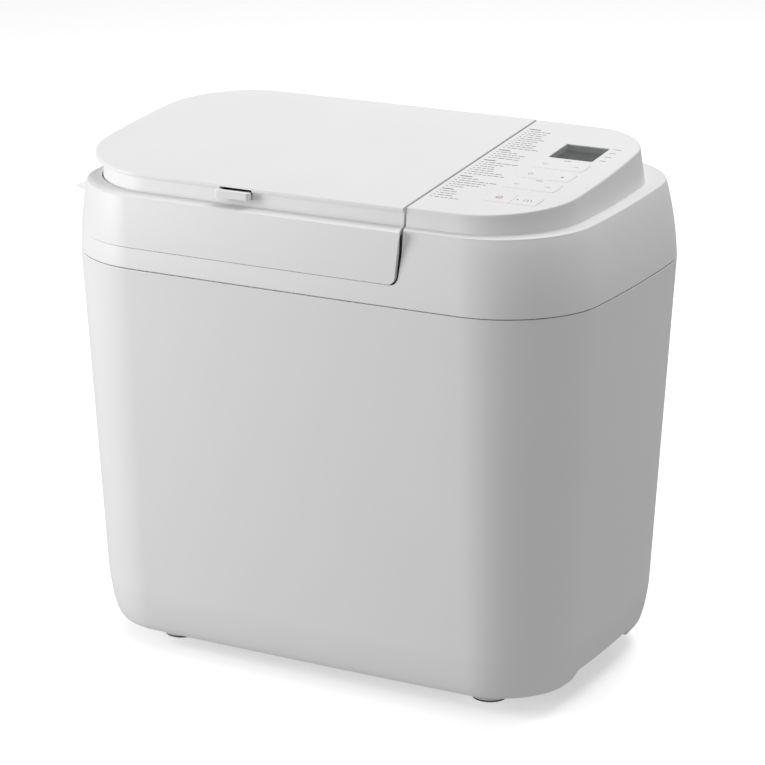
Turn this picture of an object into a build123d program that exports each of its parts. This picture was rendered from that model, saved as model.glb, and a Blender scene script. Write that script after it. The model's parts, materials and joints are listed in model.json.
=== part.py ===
from build123d import *
import math
import os

os.makedirs("parts", exist_ok=True)

# Bread machine, millimetres. X runs to the right as the user faces it, Y to the back, Z up.
# The origin is the middle of the footprint, on the worktop.

# ---- Driving dimensions: the case ----
HALF_WIDTH = 204.0        # half the widest outline, which is at the parting line
HALF_DEPTH = 130.0        # half its depth
PARTING_Z = 296.0         # where the lower and upper housings meet
BASE_Z = 15.0             # bottom edge of the lower housing
WALL = 2.6                # moulded wall
SEAM = 0.6                # open line between two mouldings
CORNERS = (68.0, 66.0, 60.0, 66.0)    # its corner radii: front left, front right, back right, back left
CASE_PROFILE = ((48.0, 12.6), (30.0, 15.1), (20.0, 17.6), (BASE_Z, 20.2))    # height, how far it draws in
SIDE_BULGE = 7.0          # how far the sides bow out over their length
END_BULGE = 2.0           # the same, at the front and back
LEDGE_Z = 348.5           # the shoulder ledge at mid depth
LEDGE_ENDS = (-198.5, 193.0)          # its left and right sides
LEDGE_CORNERS = (56.0, 64.0, 57.0, 58.0)
PANEL_LEDGE = (-114.5, 130.0)         # its front and back sides round the panel
LID_LEDGE = (-121.0, 126.0)           # and round the lid
LEDGE_SLOPE = 0.024       # it rises a little to the back
TOP_Z = 369.3             # top surface at mid depth
TOP_SLOPE = 0.098         # it rises to the back, towards the display
TILT = math.degrees(math.atan(TOP_SLOPE))

# ---- Driving dimensions: the lids ----
LID_RIGHT = 77.4          # right edge of both lids
LID_GAP = 2.0             # open gap between the lids and the control panel
PANEL_LEFT = LID_RIGHT + LID_GAP
LID_STEP = 5.0            # how much further right the lid's front skirt runs
LID_STEP_YS = (-107.0, -121.0)    # where that step starts and ends
SKIRT_CORNER = 5.0        # radius of the skirt's lower right corner
LID_BACK = 112.0          # rear edge of the main lid
SKIRT_Z = 311.0           # bottom edge of the main lid's skirt
WELL_Z = 342.0            # floor under the dispenser lid
PLATE = 3.0               # top plate of the dispenser lid
VISOR_Y = -53.0           # middle of the steam visor on the left of the lid
VISOR_LENGTH = 52.0
MAIN_AXIS = (121.5, 338.0)        # main lid hinge, y and z
DISPENSER_AXIS = (105.0, 355.0)   # dispenser lid hinge, y and z
HINGE_XS = (-120.0, 20.0)         # middle of each main lid arm
DISPENSER_HINGE_XS = (-122.0, 44.0)

NUT = (-124.0, -30.0, -80.0, -32.0)      # fruit and nut hopper: x from, x to, y from, y to
YEAST = (-8.0, 24.0, -70.0, -40.0)       # yeast hopper
FLAP_AXIS_Z = 305.2

# ---- Driving dimensions: the baking chamber and the drive ----
CHAMBER_X = -58.0         # axis of the pan and the kneading shaft
CHAMBER_HALF = (100.0, 88.0)
CHAMBER_RADIUS = 40.0
CHAMBER_FLOOR = 62.0
DECK_Z = 300.0            # top of the deck round the chamber's mouth
SHEET = 0.8
PAN_TOP = 228.0
PAN_FLOOR = 80.0
PAN_TWIST = 7.0           # degrees that the pan turns to unlock
HANDLE_REACH = 60.0       # pivot to the middle of the handle's grip
HANDLE_LIE = 15.0         # degrees above level where the handle rests on the rim
MOTOR_X = 128.0
GLAND_X = 150.0           # the cord's way out, through the rear wall
GLAND_Y = 115.7           # outside face of the rear wall there
GLAND_Z = 44.0
LARGE_PULLEY_R = 45.0
MOTOR_PULLEY_R = 9.0
BELT_Z = 30.0
RUN_GAP = 0.05            # radial clearance of a running fit

# ---- Driving dimensions: the control panel ----
PANEL_X = 139.6           # middle of the display and the keys
KEY_SIZE = (39.6, 17.0)
KEY_ROWS = (11.5, -11.5, -34.5)
LAST_ROW = -64.0
KEY_RAISE = 0.5
KEY_GAP = 0.25
DISPLAY_Y = 42.5
DISPLAY_SIZE = (33.6, 31.6)


PARTING_SIDES = (-HALF_WIDTH, HALF_WIDTH, -HALF_DEPTH, HALF_DEPTH)


def save(node, shape):
    """Write one node."""
    export_step(shape, f"parts/{node}.step")


def slab(x0, x1, y0, y1, z0, z1, radius=0.0):
    """An upright block with rounded vertical corners."""
    sketch = Rectangle(x1 - x0, y1 - y0) if radius == 0 else RectangleRounded(x1 - x0, y1 - y0, radius)
    return Pos((x0 + x1) / 2, (y0 + y1) / 2, z0) * extrude(sketch, z1 - z0)


def rod(x, y, z0, z1, radius):
    """An upright cylinder."""
    return Pos(x, y, (z0 + z1) / 2) * Cylinder(radius, z1 - z0)


def cross_rod(x0, x1, y, z, radius):
    """A cylinder along X."""
    return Pos((x0 + x1) / 2, y, z) * Rot(0, 90, 0) * Cylinder(radius, x1 - x0)


def outline(sides, radii, z, slope=0.0, grow=0.0):
    """A four-sided face with bowed sides and round corners, in order front left, front right,
    back right, back left. sides is left, right, front, back."""
    tilt = math.atan(slope)
    left = sides[0] - grow
    right = sides[1] + grow
    front = (sides[2] - grow) / math.cos(tilt)
    back = (sides[3] + grow) / math.cos(tilt)
    low_x = left + SIDE_BULGE
    high_x = right - SIDE_BULGE
    low_y = front + END_BULGE
    high_y = back - END_BULGE
    corners = [(low_x, low_y), (high_x, low_y), (high_x, high_y), (low_x, high_y)]
    middle_x = (left + right) / 2
    middle_y = (front + back) / 2
    middles = [(middle_x, front), (right, middle_y), (middle_x, back), (left, middle_y)]
    arcs = [ThreePointArc(corners[i], middles[i], corners[(i + 1) % 4]) for i in range(4)]
    face = Face(Wire(arcs))
    for corner, radius in zip(corners, radii):
        vertex = face.vertices().sort_by_distance((corner[0], corner[1], 0))[0]
        face = face.fillet_2d(radius + grow, [vertex])
    return Pos(0, 0, z) * Rot(math.degrees(tilt), 0, 0) * face


def case_ring(z, inset, grow=0.0):
    """The lower housing's outline at one height, drawn in by inset from the parting line."""
    sides = (-HALF_WIDTH + inset, HALF_WIDTH - inset, -HALF_DEPTH + 1.1 * inset, HALF_DEPTH - 1.1 * inset)
    return outline(sides, [corner - inset for corner in CORNERS], z, grow=grow)


def case_form(grow=0.0):
    """The solid inside the lower housing's skin."""
    rings = [(PARTING_Z - SEAM, 0.0)] + list(CASE_PROFILE)
    return loft([case_ring(z, inset, grow) for z, inset in rings], ruled=True)


def upper_form(ledge_ys, grow=0.0, drop=0.0):
    """The solid inside the upper housing's skin. It leans in more and more, up to the ledge."""
    ledge = LEDGE_ENDS + ledge_ys
    rings = []
    for rise in (0.0, 0.2, 0.4, 0.6, 0.8, 1.0):
        lean = 0.3 * rise + 0.7 * rise ** 2
        sides = [low + (high - low) * lean for low, high in zip(PARTING_SIDES, ledge)]
        radii = [low + (high - low) * lean for low, high in zip(CORNERS, LEDGE_CORNERS)]
        z = PARTING_Z + (LEDGE_Z - drop - PARTING_Z) * rise
        rings.append(outline(sides, radii, z, LEDGE_SLOPE * rise, grow))
    return loft(rings, ruled=True)


def island_form(grow=0.0, drop=0.0):
    """The raised block that carries the panel and the dispenser lid, from below the ledge to the top."""
    rings = [
        outline((-194.6, 183.0, -105.6, 107.0), (58, 59, 46, 52), LEDGE_Z - 12, LEDGE_SLOPE, grow),
        outline((-194.6, 182.8, -105.6, 106.6), (58, 59, 46, 52), LEDGE_Z, LEDGE_SLOPE, grow),
        outline((-194.6, 180.0, -104.6, 103.4), (58, 58, 45, 52), TOP_Z - drop, TOP_SLOPE, grow),
    ]
    return loft(rings, ruled=True)


def side(x0, x1, y0=-200.0, y1=200.0, z0=-10.0, z1=420.0):
    """A large block used to keep one side of a form."""
    return slab(x0, x1, y0, y1, z0, z1)


def lid_block(gap=0.0, z0=SKIRT_Z, z1=420.0):
    """The block that holds everything of the main lid, with its step to the right at the front.
    gap moves its right side."""
    right = LID_RIGHT + gap
    front = right + LID_STEP
    step_back, step_front = LID_STEP_YS
    points = [(-260, -200), (front, -200), (front, step_front), (right, step_back), (right, 200), (-260, 200)]
    return Pos(0, 0, z0) * extrude(make_face(Polyline(*points, close=True)), z1 - z0)


def round_lid_corner(block, radius):
    """Rounds the lower right edge of the lid block's front part."""
    edges = block.edges().filter_by(Axis.Y).group_by(Axis.Z)[0]
    return fillet(edges.sort_by(Axis.X)[-1], radius)


def on_top(x, y, depth=0.0):
    """The place of a point on the sloping top surface, moved down into it by depth."""
    return Pos(x, y, TOP_Z + TOP_SLOPE * y) * Rot(TILT, 0, 0) * Pos(0, 0, -depth)


def key_block(x, y, width, depth, top, height, radius=3.0):
    """A rounded block parallel to the top surface, its top raised by top."""
    return on_top(x, y, height - top) * extrude(RectangleRounded(width, depth, radius), height)


# ---- The case ----

def lower_housing():
    inner = case_form(-WALL)
    rim = inner & side(-250, 250, z0=18.0, z1=20.5)
    shell = case_form() - inner + (rim - case_form(-WALL - 9))
    for sign in (-1, 1):
        grip = Pos(sign * 180, 0, 12) * Box(60, 96, 20)
        grip = fillet(grip.edges().filter_by(Axis.X), 6)
        shell = shell - grip
    for k in range(7):
        shell = shell - slab(92 + 9 * k, 96 + 9 * k, 90, 150, 62, 112, 1.9)
    for x, y in base_screw_places():
        shell = shell - rod(x, y, 17, 22, 2.0)
    gland_hole = Pos(GLAND_X, GLAND_Y, GLAND_Z) * Rot(90, 0, 0) * Cylinder(8.05, 30)
    return shell - gland_hole


def bottom_cover():
    plate = extrude(case_ring(15.2, CASE_PROFILE[-1][1], -WALL - 0.8), 2.5)
    for sign in (-1, 1):
        plate = plate - Pos(sign * 180, 0, 16) * Box(40, 104, 10)
    for k in range(12):
        plate = plate - slab(60 + 8 * k, 64 + 8 * k, -30, 30, 10, 20, 1.9)
    for x, y in foot_places():
        plate = plate - rod(x, y, 10, 20, 3.2)
    for x, y in base_screw_places():
        plate = plate - rod(x, y, 10, 20, 2.0)
    return plate


def foot_places():
    return [(sx * 128, sy * 68) for sy in (-1, 1) for sx in (-1, 1)]


def foot(x, y):
    body = Pos(x, y, 1.6) * extrude(Circle(14.5), 13.4, taper=-6)
    return body + rod(x, y, 14.9, 18.0, 3.1)


def foot_pads():
    return Compound([rod(x, y, 0, 1.5, 12.5) for x, y in foot_places()])


def upper_housing():
    outer = upper_form(PANEL_LEDGE) + island_form()
    inner = upper_form(PANEL_LEDGE, -WALL, WALL) + island_form(-WALL, WALL)
    dividing_wall = lid_block(LID_GAP + WALL, DECK_Z - 3) - lid_block(LID_GAP, DECK_Z - 4)
    lid_space = round_lid_corner(lid_block(LID_GAP, SKIRT_Z - SEAM), SKIRT_CORNER + LID_GAP)
    skin = outer - inner + (inner & dividing_wall) - lid_space
    form = upper_form(LID_LEDGE)
    inside = upper_form(LID_LEDGE, -WALL)
    deck = inside & side(-260, PANEL_LEFT + WALL, z0=DECK_Z - 3, z1=DECK_Z)
    rail = form & side(-196, PANEL_LEFT, y0=LID_BACK + 2.5, z0=DECK_Z - 1, z1=343)
    rail = rail - (inside & side(-190, PANEL_LEFT - 4, y0=LID_BACK + 5, z0=DECK_Z - 4, z1=340.4))
    for x in HINGE_XS:
        rail = rail + (form & side(x - 22, x + 22, y0=LID_BACK + 2.5, z0=DECK_Z - 1, z1=343))
    lip = extrude(outline(PARTING_SIDES, CORNERS, PARTING_Z - 5, grow=-3.4), 6)
    lip = lip - extrude(outline(PARTING_SIDES, CORNERS, PARTING_Z - 6, grow=-5.4), 8)
    lip = lip + ((inside - upper_form(LID_LEDGE, -5.4)) & side(-260, 260, z0=PARTING_Z, z1=PARTING_Z + 2))
    body = skin + deck + rail + lip
    mouth_x = CHAMBER_HALF[0] + 0.5
    mouth_y = CHAMBER_HALF[1] + 0.5
    mouth = slab(CHAMBER_X - mouth_x, CHAMBER_X + mouth_x, -mouth_y, mouth_y, 290, 305, CHAMBER_RADIUS + 0.5)
    body = body - mouth
    y, z = MAIN_AXIS
    for x in HINGE_XS:
        body = body - slab(x - 10.5, x + 10.5, LID_BACK, 140, z - 6.5, z + 8)
        body = body - cross_rod(x - 19, x + 19, y, z, 2.0)
    body = body - key_block(PANEL_X, DISPLAY_Y, *DISPLAY_SIZE, 1, 6, 1.0)
    for row in KEY_ROWS + (LAST_ROW,):
        body = body - key_block(PANEL_X, row, KEY_SIZE[0] + 2 * KEY_GAP, KEY_SIZE[1] + 2 * KEY_GAP, 1, 6, 3.2)
    return body


def hinge_pins():
    y, z = MAIN_AXIS
    return Compound([cross_rod(x - 18, x + 18, y, z, 1.98) for x in HINGE_XS])


# ---- The control panel ----

def display_window():
    return key_block(PANEL_X, DISPLAY_Y, DISPLAY_SIZE[0] - 0.2, DISPLAY_SIZE[1] - 0.2, -0.8, 1.4, 0.9)


def display_module():
    return key_block(PANEL_X, DISPLAY_Y, DISPLAY_SIZE[0] + 4, DISPLAY_SIZE[1] + 4, -3.0, 6.4, 0.9)


def rocker_key(row):
    """A long key that tips either way on a rod, with a plunger under each end."""
    key = key_block(PANEL_X, row, *KEY_SIZE, KEY_RAISE, 4.2)
    key = key + on_top(PANEL_X, row, 4.6) * Rot(90, 0, 0) * Cylinder(1.5, 8)
    for dx in (-12, 12):
        key = key + on_top(PANEL_X + dx, row, 4.3) * Cylinder(1.6, 1.8)
    return key


def push_key(x):
    key = key_block(x, LAST_ROW, KEY_SIZE[0] / 2 - 0.5, KEY_SIZE[1], KEY_RAISE, 4.2)
    return key + on_top(x, LAST_ROW, 4.2) * Cylinder(1.6, 1.8)


def control_board():
    board = key_block(PANEL_X, -6, 54, 142, -10, 1.6, 2.0)
    for row in KEY_ROWS:
        board = board + key_block(PANEL_X, row, 4, 10, -6.3, 4.0, 0.5)
    return board


def tact_switches():
    rows = KEY_ROWS + (LAST_ROW,)
    spots = [(PANEL_X + dx, row) for row in rows for dx in (-11, 11)]
    return Compound([key_block(x, y, 6, 6, -5.65, 4.3, 0.5) for x, y in spots])


# ---- The main lid ----

def main_lid():
    block = round_lid_corner(lid_block(), SKIRT_CORNER)
    form = upper_form(LID_LEDGE) & block & side(-260, 260, y1=LID_BACK)
    inner = upper_form(LID_LEDGE, -2.4, 2.4) & lid_block(-2.4, 300) & side(-260, 260, y1=LID_BACK - 2.4)
    open_end = upper_form(LID_LEDGE, -3.6, 3.0) & side(70, 90, y1=-109, z0=300)
    inner = inner + open_end
    well_wall = island_form(3.1) & side(-260, 90, z0=WELL_Z - WALL)
    well = island_form(0.9) & side(-260, 90, z0=WELL_Z)
    lid = form - (inner - well_wall) - well
    for x0, x1, y0, y1 in (NUT, YEAST):
        lid = lid - slab(x0, x1, y0, y1, 330, 350, 3)
    y, z = MAIN_AXIS
    for x in HINGE_XS:
        arm = slab(x - 10, x + 10, LID_BACK - 2, y, z - 4.4, z + 4.4) + cross_rod(x - 10, x + 10, y, z, 4.4)
        lid = lid + arm - cross_rod(x - 12, x + 12, y, z, 1.98 + RUN_GAP)
    y, z = DISPENSER_AXIS
    for x in DISPENSER_HINGE_XS:
        ear = slab(x - 4, x + 4, y - 3, y + 1.6, WELL_Z - 1, z) + cross_rod(x - 4, x + 4, y, z, 2.8)
        lid = lid + ear - cross_rod(x - 6, x + 6, y, z, 1.48)
    for k in range(-2, 3):
        lid = lid - slab(-208, -190, VISOR_Y + 9 * k - 2.2, VISOR_Y + 9 * k + 2.2, 322, 332)
    return lid


def steam_visor():
    """A small wedge over the steam slots in the lid's left skirt."""
    profile = Polyline((-192, 341.0), (-198.4, 341.0), (-206, 336.6), (-206, 335.4), (-199.4, 333.4), (-192, 333.4),
                       close=True)
    wedge = Pos(0, VISOR_Y, 0) * extrude(Plane.XZ * make_face(profile), VISOR_LENGTH / 2, both=True)
    return wedge - upper_form(LID_LEDGE, 0.05)


def lid_liner():
    """The heat-resisting inner face of the lid."""
    form = upper_form(LID_LEDGE, -7.0) & side(-260, LID_RIGHT - 5, y1=LID_BACK - 5, z0=302.4, z1=322)
    inner = upper_form(LID_LEDGE, -8.6) & side(-260, LID_RIGHT - 6.6, y1=LID_BACK - 6.6, z0=304.0, z1=330)
    liner = form - inner
    for x0, x1, y0, y1 in (NUT, YEAST):
        liner = liner - slab(x0 + 1.6, x1 - 1.6, y0 + 1, y1 - 1.6, 300, 306, 2)
        for x in (x0 - 1.4, x1 + 1.4):
            ear = slab(x - 1.2, x + 1.2, y0 + 1.6, y0 + 6.4, 303.6, FLAP_AXIS_Z + 1.9)
            liner = liner + ear
        liner = liner - cross_rod(x0 - 4, x1 + 4, y0 + 4, FLAP_AXIS_Z, 1.2 + RUN_GAP)
    for k in range(8):
        liner = liner - slab(-150 + 10 * k, -146 + 10 * k, 20, 60, 300, 306, 1.9)
    return liner


def lid_seal():
    outer = slab(CHAMBER_X - 110, CHAMBER_X + 110, -97, 97, 300.4, 302.4, 47)
    return outer - slab(CHAMBER_X - 104, CHAMBER_X + 104, -91, 91, 300, 303, 41)


def dispenser_box(x0, x1, y0, y1):
    """An open hopper that hangs in the lid by its rim."""
    rim = slab(x0 - 4, x1 + 4, y0 - 4, y1 + 4, WELL_Z, WELL_Z + 1.4, 5)
    walls = slab(x0 + 0.4, x1 - 0.4, y0 + 0.4, y1 - 0.4, FLAP_AXIS_Z + 2, WELL_Z + 1, 3)
    return rim + walls - slab(x0 + 2, x1 - 2, y0 + 2, y1 - 2, 300, 350, 2)


def dispenser_flap(x0, x1, y0, y1):
    """The trapdoor below a hopper, with its pivot rod at the front."""
    plate = slab(x0 + 2.6, x1 - 2.6, y0 + 2.6, y1 - 2.6, 302.9, 304.5, 1.2)
    return plate + cross_rod(x0 - 2.4, x1 + 2.4, y0 + 4, FLAP_AXIS_Z, 1.2)


# ---- The dispenser lid ----

def dispenser_lid():
    walls = island_form() & side(-260, LID_RIGHT, z0=344.0)
    hollow = island_form(-2.4, PLATE) & side(-260, LID_RIGHT - 2.4)
    plate_sides = (-203.8, 300, -106.4, 103.6)
    plate = loft([
        outline(plate_sides, (66, 60, 60, 58), TOP_Z - PLATE, TOP_SLOPE),
        outline(plate_sides, (66, 60, 60, 58), TOP_Z, TOP_SLOPE),
    ], ruled=True)
    lid = walls - hollow + (plate & side(-260, LID_RIGHT))
    floor_cut = island_form(2) & side(-260, 90, y0=100, z0=330, z1=352.6)
    lid = lid - floor_cut
    y, z = DISPENSER_AXIS
    for x in DISPENSER_HINGE_XS:
        lid = lid - slab(x - 4.5, x + 4.5, y - 4, y + 4, 340, z + 3.6)
        for sign in (-1, 1):
            centre = x + sign * 8
            knuckle = cross_rod(centre - 3.5, centre + 3.5, y - 0.4, z, 2.2)
            knuckle = knuckle + slab(centre - 3.5, centre + 3.5, y - 2.4, y - 0.2, z, z + 16)
            lid = lid + knuckle - cross_rod(centre - 4, centre + 4, y, z, 1.45 + RUN_GAP)
    lid = lid - slab(-68, -39, -112, -100, 349.5, 357.6)
    return lid


def dispenser_pins():
    y, z = DISPENSER_AXIS
    return Compound([cross_rod(x - 11, x + 11, y, z, 1.45) for x in DISPENSER_HINGE_XS])


def dispenser_inner():
    """The inner cover that closes over the hoppers."""
    tray = slab(-139, 39, -95, -17, 345.2, 347.0, 8)
    for x in (-132, 32):
        for y in (-88, -24):
            tray = tray + rod(x, y, 346.5, TOP_Z + TOP_SLOPE * (y - 3) - PLATE - 0.1, 3.0)
    return tray


def dispenser_gasket():
    ring = slab(-137, 37, -93, -19, WELL_Z + 0.3, 345.2, 8)
    return ring - slab(-132.5, 32.5, -88.5, -23.5, WELL_Z, 346, 4)


def latch_tab():
    tongue = slab(-67, -40, -112.5, -92, 351.2, 352.8)
    lip = slab(-67, -40, -112.5, -107.6, 351.2, 356.4)
    lip = chamfer(lip.edges().filter_by(Axis.Z).group_by(Axis.Y)[0], 2.0)
    return tongue + lip


# ---- The baking chamber and the pan ----

def oven_chamber():
    x, y = CHAMBER_HALF
    outer = slab(CHAMBER_X - x - SHEET, CHAMBER_X + x + SHEET, -y - SHEET, y + SHEET,
                 CHAMBER_FLOOR - SHEET, 296.6, CHAMBER_RADIUS + SHEET)
    inner = slab(CHAMBER_X - x, CHAMBER_X + x, -y, y, CHAMBER_FLOOR, 300, CHAMBER_RADIUS)
    flange = slab(CHAMBER_X - x - 8, CHAMBER_X + x + 8, -y - 8, y + 8, 295.8, 296.6, CHAMBER_RADIUS + 8)
    box = outer + flange - inner
    box = box - rod(CHAMBER_X, 0, 55, 70, 12.2)
    for sign in (-1, 1):
        box = box - cross_rod(CHAMBER_X + x - 5, CHAMBER_X + x + 5, sign * 14, 88, 3.6)
    return box - cross_rod(CHAMBER_X + x - 5, CHAMBER_X + x + 5, 40, 150, 4.2)


def heater_element():
    """A sheathed heater round the chamber, its two ends through the right wall."""
    x = CHAMBER_HALF[0] - 8
    y = CHAMBER_HALF[1] - 8
    points = [(130, -14, 88), (x, -14, 88), (x, -y, 88), (-x, -y, 88), (-x, y, 88), (x, y, 88),
              (x, 14, 88), (130, 14, 88)]
    route = FilletPolyline(*[(CHAMBER_X + px, py, pz) for px, py, pz in points], radius=[8, 30, 34, 34, 30, 8])
    start = Plane(origin=route @ 0, z_dir=route % 0)
    return sweep(start * Circle(3.25), path=route)


def pan_seat():
    ring = rod(CHAMBER_X, 0, CHAMBER_FLOOR, CHAMBER_FLOOR + 9, 47) - rod(CHAMBER_X, 0, 50, 90, 43.6)
    for angle in (0, 180):
        slot = Pos(CHAMBER_X, 0, 68) * Rot(0, 0, angle) * Pos(45, 3.2, 0) * Box(8, 24, 4)
        entry = Pos(CHAMBER_X, 0, 70) * Rot(0, 0, angle + PAN_TWIST) * Pos(45, 0, 0) * Box(8, 16, 8)
        ring = ring - slot - entry
    floor = rod(CHAMBER_X, 0, CHAMBER_FLOOR, CHAMBER_FLOOR + 1.2, 43.8) - rod(CHAMBER_X, 0, 50, 90, 13)
    return ring + floor


def pan_ring(z, half_x, half_y, radius):
    return Pos(CHAMBER_X, 0, z) * RectangleRounded(2 * half_x, 2 * half_y, radius)


def bread_pan():
    outer = loft([pan_ring(PAN_FLOOR, 78, 66, 34), pan_ring(PAN_TOP, 84, 72, 40)], ruled=True)
    inner = loft([pan_ring(PAN_FLOOR + 1.6, 76.6, 64.6, 32.6), pan_ring(PAN_TOP + 0.1, 82.6, 70.6, 38.6)], ruled=True)
    rim = slab(CHAMBER_X - 87, CHAMBER_X + 87, -75, 75, PAN_TOP - 1.6, PAN_TOP, 43)
    pan = outer + rim - inner - rod(CHAMBER_X, 0, 75, 90, 7.0)
    for sign in (-1, 1):
        ear_x = CHAMBER_X + sign * 86
        pan = pan + slab(ear_x - 1.4, ear_x + 1.4, -9, 9, PAN_TOP - 18, PAN_TOP - 1)
        pan = pan + cross_rod(min(ear_x, ear_x + sign * 5), max(ear_x, ear_x + sign * 5), 0, PAN_TOP - 11, 2.4)
    return pan


def pan_foot():
    """The ring under the pan, with two lugs that turn under the seat."""
    ring = rod(CHAMBER_X, 0, 66.5, PAN_FLOOR, 42.6) - rod(CHAMBER_X, 0, 60, 90, 40)
    for angle in (0, 180):
        lug = Pos(CHAMBER_X, 0, 68) * Rot(0, 0, angle) * Pos(43.6, 0, 0) * Box(4, 14, 3)
        ring = ring + lug
    return ring


def pan_bushing():
    flange = rod(CHAMBER_X, 0, PAN_FLOOR - 3, PAN_FLOOR, 11)
    return flange + rod(CHAMBER_X, 0, PAN_FLOOR - 1, PAN_FLOOR + 7, 6.9) - rod(CHAMBER_X, 0, 70, 95, 4.0 + RUN_GAP)


def pan_handle():
    """The bail: two flat arms outside the pan and a grip, lying towards the front."""
    lie = Pos(CHAMBER_X, 0, PAN_TOP - 11) * Rot(-HANDLE_LIE, 0, 0)
    grip = cross_rod(-91.6, 91.6, -HANDLE_REACH, 0, 2.4)
    bail = grip
    for sign in (-1, 1):
        arm = Pos(sign * 90.4, -HANDLE_REACH / 2, 0) * Box(2.4, HANDLE_REACH, 4.8)
        eye = cross_rod(sign * 90.4 - 1.2, sign * 90.4 + 1.2, 0, 0, 5.0)
        bail = bail + arm + eye - cross_rod(sign * 90.4 - 3, sign * 90.4 + 3, 0, 0, 2.4 + RUN_GAP)
    return lie * bail


def temperature_sensor():
    x = CHAMBER_X + CHAMBER_HALF[0]
    return cross_rod(x - 5, x + 14, 40, 150, 4.0) + cross_rod(x + 1, x + 3, 40, 150, 7.0)


# ---- The drive ----

def drive_shaft():
    shaft = rod(CHAMBER_X, 0, 24, 66, 4.0)
    dog = rod(CHAMBER_X, 0, 65, 68, 10.5)
    for angle in (0, 90):
        dog = dog + Pos(CHAMBER_X, 0, 70) * Rot(0, 0, angle) * (Box(20, 3, 4) - Box(9, 9, 9))
    return shaft + dog


def blade_shaft():
    coupling = rod(CHAMBER_X, 0, 72.4, 75.4, 10.5) + rod(CHAMBER_X, 0, 68.4, 73, 3.8)
    for angle in (45, 135):
        coupling = coupling + Pos(CHAMBER_X, 0, 71) * Rot(0, 0, angle) * (Box(20, 3, 4) - Box(9, 9, 9))
    shaft = rod(CHAMBER_X, 0, 75, 106, 4.0)
    return coupling + shaft


def kneading_blade():
    hub = rod(CHAMBER_X, 0, 88.5, 108, 8.5)
    profile = Polyline((0, 0), (52, 0), (50, 12), (30, 26), (0, 30), close=True)
    paddle = Pos(CHAMBER_X, 2.4, 88.5) * extrude(Plane.XZ * make_face(profile), 4.8)
    paddle = Pos(CHAMBER_X, 0, 0) * Rot(0, 0, 20) * Pos(-CHAMBER_X, 0, 0) * paddle
    return hub + paddle - rod(CHAMBER_X, 0, 85, 106.2, 4.02)


def pulley(x, radius, bore):
    flanges = rod(x, 0, BELT_Z - 6, BELT_Z - 4.5, radius + 3) + rod(x, 0, BELT_Z + 4.5, BELT_Z + 6, radius + 3)
    return flanges + rod(x, 0, BELT_Z - 5, BELT_Z + 5, radius) - rod(x, 0, 10, 60, bore)


def drive_belt():
    """A flat toothed belt, shown as one loop round both pulleys."""
    gap = 0.3
    loops = []
    for extra in (gap, gap + 2.2):
        big = Pos(CHAMBER_X, 0) * Circle(LARGE_PULLEY_R + extra)
        small = Pos(MOTOR_X, 0) * Circle(MOTOR_PULLEY_R + extra)
        loops.append(make_hull(big.edges() + small.edges()))
    return Pos(0, 0, BELT_Z - 4) * (extrude(loops[1], 8) - extrude(loops[0], 8))


def bearing_housing():
    body = rod(CHAMBER_X, 0, 40, 61, 12) + rod(CHAMBER_X, 0, 40, 43, 24)
    return body - rod(CHAMBER_X, 0, 30, 70, 4.0 + RUN_GAP)


def chassis():
    """The pressed plate that carries the bearing, the motor and the chamber."""
    plate = slab(CHAMBER_X - 108, 176, -72, 72, 38, 40, 12)
    plate = plate - rod(CHAMBER_X, 0, 30, 50, 8) - rod(MOTOR_X, 0, 30, 50, 14)
    for x in (CHAMBER_X - 95, 60, 158):
        for y in (-60, 60):
            plate = plate + rod(x, y, 17.7, 39, 5)
    return plate


def chamber_stands():
    places = [(CHAMBER_X + sx * 70, sy * 55) for sx in (-1, 1) for sy in (-1, 1)]
    return Compound([rod(x, y, 40, CHAMBER_FLOOR - SHEET, 5) for x, y in places])


def motor():
    can = rod(MOTOR_X, 0, 48, 128, 40) + rod(MOTOR_X, 0, 40, 48, 22)
    for angle in range(0, 360, 90):
        post = Pos(MOTOR_X, 0, 44) * Rot(0, 0, angle + 45) * Pos(32, 0, 0) * Cylinder(4, 8)
        can = can + post
    return can - rod(MOTOR_X, 0, 30, 70, 4.0 + RUN_GAP)


def motor_shaft():
    return rod(MOTOR_X, 0, 22, 69.5, 4.0)


def power_board():
    return slab(70, 168, -88, -86.4, 48, 150)


def run_capacitor():
    return Pos(120, -74.8, 84) * Rot(0, 90, 0) * Cylinder(11, 44)


def heat_shield():
    sheet = slab(62, 63, -86, 86, 42, 288)
    for y in (-14, 14):
        sheet = sheet - cross_rod(55, 70, y, 88, 5)
    return sheet


def cord_gland():
    """The rear grommet that the cord would pass through."""
    place = Pos(GLAND_X, GLAND_Y, GLAND_Z) * Rot(90, 0, 0)
    tube = place * Cylinder(8.0, 10)
    collar = place * Pos(0, 0, -2.4) * Cylinder(11, 3.2)
    return tube + collar - place * Cylinder(3.8, 40)


def base_screw_places():
    return [(x, y) for x in (-100, 0, 100) for y in (-93, 93)]


def base_screws():
    return Compound([rod(x, y, 13.4, 15.1, 4.0) + rod(x, y, 15, 24, 1.9) for x, y in base_screw_places()])


def liner_screws():
    places = [(-165, -80), (-165, 90), (50, -100), (50, 95)]
    return Compound([rod(x, y, 301.2, 302.3, 3.4) for x, y in places])


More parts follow.
